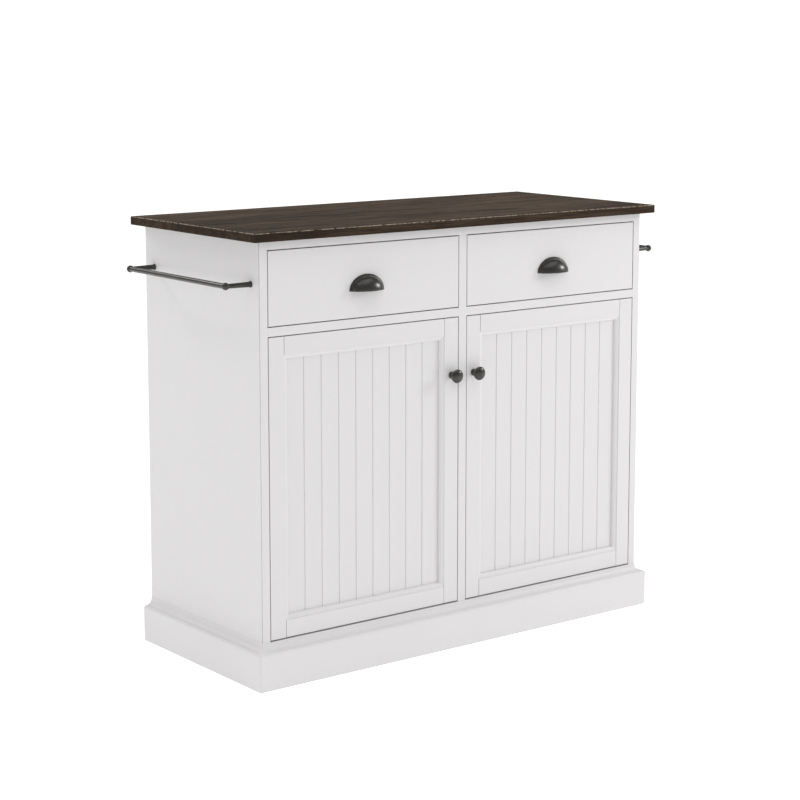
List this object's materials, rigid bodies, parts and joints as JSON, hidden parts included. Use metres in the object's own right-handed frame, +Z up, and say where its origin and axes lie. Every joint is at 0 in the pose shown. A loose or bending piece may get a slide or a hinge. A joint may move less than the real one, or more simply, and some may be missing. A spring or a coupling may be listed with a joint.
{
  "type": "kitchen island cabinet",
  "caption": "White painted kitchen island with a dark wood worktop, drawers over panelled doors, a moulded plinth and towel bars on its ends.",
  "frame": {"origin": "on the floor, below the middle of the worktop", "axes": "+X along the front towards the right-hand door, +Y from the doors to the back panel, +Z up"},
  "size_m": [1.147, 0.475, 0.914],
  "materials": {
    "worktop": "dark brown stained wood, satin, fine grain along the length, lighter worn edges",
    "painted_wood": "white satin paint over wood",
    "inside_board": "white matt faced board",
    "drawer_box_wood": "clear lacquered light wood",
    "dark_metal": "dark bronze, satin with soft highlights",
    "zinc_steel": "bright zinc plate"
  },
  "bodies": {
    "carcass": {"worktop": "worktop", "side_panel_left": "painted_wood", "side_panel_right": "painted_wood", "centre_partition": "painted_wood", "cabinet_floor": "painted_wood", "top_rail_front": "painted_wood", "top_rail_rear": "painted_wood", "mid_rail_left": "painted_wood", "mid_rail_right": "painted_wood", "plinth_front": "painted_wood", "plinth_left": "painted_wood", "plinth_right": "painted_wood", "back_panel": "inside_board", "plinth_rear": "inside_board", "shelf_left": "inside_board", "shelf_right": "inside_board", "towel_bar_left": "dark_metal", "towel_bar_right": "dark_metal", "towel_posts": "dark_metal", "shelf_pins": "zinc_steel", "carcass_screws": "zinc_steel", "slide_outer_members": "zinc_steel", "hinge_plates": "zinc_steel", "hinge_arms": "zinc_steel"},
    "door_left": {"door_left_hinge_stile": "painted_wood", "door_left_lock_stile": "painted_wood", "door_left_top_rail": "painted_wood", "door_left_bottom_rail": "painted_wood", "door_left_panel": "painted_wood", "door_left_hinge_cups": "zinc_steel", "knob_left": "dark_metal", "knob_screw_left": "zinc_steel"},
    "hinge_inner_link_left": {"hinge_inner_links_left": "zinc_steel"},
    "hinge_outer_link_left": {"hinge_outer_links_left": "zinc_steel"},
    "drawer_left": {"drawer_left_front": "painted_wood", "drawer_left_sides": "drawer_box_wood", "drawer_left_back": "drawer_box_wood", "drawer_left_bottom": "drawer_box_wood", "cup_pull_left": "dark_metal", "pull_screws_left": "zinc_steel", "slide_inner_members_left": "zinc_steel"},
    "slide_mid_left": {"slide_mid_members_left": "zinc_steel"},
    "door_right": {"door_right_hinge_stile": "painted_wood", "door_right_lock_stile": "painted_wood", "door_right_top_rail": "painted_wood", "door_right_bottom_rail": "painted_wood", "door_right_panel": "painted_wood", "door_right_hinge_cups": "zinc_steel", "knob_right": "dark_metal", "knob_screw_right": "zinc_steel"},
    "hinge_inner_link_right": {"hinge_inner_links_right": "zinc_steel"},
    "hinge_outer_link_right": {"hinge_outer_links_right": "zinc_steel"},
    "drawer_right": {"drawer_right_front": "painted_wood", "drawer_right_sides": "drawer_box_wood", "drawer_right_back": "drawer_box_wood", "drawer_right_bottom": "drawer_box_wood", "cup_pull_right": "dark_metal", "pull_screws_right": "zinc_steel", "slide_inner_members_right": "zinc_steel"},
    "slide_mid_right": {"slide_mid_members_right": "zinc_steel"}
  },
  "joints": [
    {"name": "door_left_hinge", "type": "hinge", "parent": "carcass", "child": "door_left", "pos_m": [-0.488, -0.213, 0.096], "axis": [0, 0, -1], "range_deg": [0, 95]},
    {"name": "hinge_inner_link_left_pivot", "type": "hinge", "parent": "carcass", "child": "hinge_inner_link_left", "pos_m": [-0.466, -0.189, 0.096], "axis": [0, 0, -1], "range_deg": [0, 95]},
    {"name": "hinge_outer_link_left_pivot", "type": "hinge", "parent": "door_left", "child": "hinge_outer_link_left", "pos_m": [-0.465, -0.2, 0.096], "axis": [0, 0, -1], "range_deg": [-95, 0]},
    {"name": "drawer_left_slide", "type": "slide", "parent": "carcass", "child": "drawer_left", "axis": [0, -1, 0], "range_m": [0, 0.34]},
    {"name": "slide_mid_left_travel", "type": "slide", "parent": "carcass", "child": "slide_mid_left", "axis": [0, -1, 0], "range_m": [0, 0.17]},
    {"name": "door_right_hinge", "type": "hinge", "parent": "carcass", "child": "door_right", "pos_m": [0.488, -0.213, 0.096], "axis": [0, 0, 1], "range_deg": [0, 95]},
    {"name": "hinge_inner_link_right_pivot", "type": "hinge", "parent": "carcass", "child": "hinge_inner_link_right", "pos_m": [0.466, -0.189, 0.096], "axis": [0, 0, 1], "range_deg": [0, 95]},
    {"name": "hinge_outer_link_right_pivot", "type": "hinge", "parent": "door_right", "child": "hinge_outer_link_right", "pos_m": [0.465, -0.2, 0.096], "axis": [0, 0, 1], "range_deg": [-95, 0]},
    {"name": "drawer_right_slide", "type": "slide", "parent": "carcass", "child": "drawer_right", "axis": [0, -1, 0], "range_m": [0, 0.34]},
    {"name": "slide_mid_right_travel", "type": "slide", "parent": "carcass", "child": "slide_mid_right", "axis": [0, -1, 0], "range_m": [0, 0.17]}
  ],
  "couplings": [
    {"joint": "hinge_inner_link_left_pivot", "follows": "door_left_hinge", "ratio": 1},
    {"joint": "hinge_outer_link_left_pivot", "follows": "door_left_hinge", "ratio": -1},
    {"joint": "slide_mid_left_travel", "follows": "drawer_left_slide", "ratio": 0.5},
    {"joint": "hinge_inner_link_right_pivot", "follows": "door_right_hinge", "ratio": 1},
    {"joint": "hinge_outer_link_right_pivot", "follows": "door_right_hinge", "ratio": -1},
    {"joint": "slide_mid_right_travel", "follows": "drawer_right_slide", "ratio": 0.5}
  ]
}
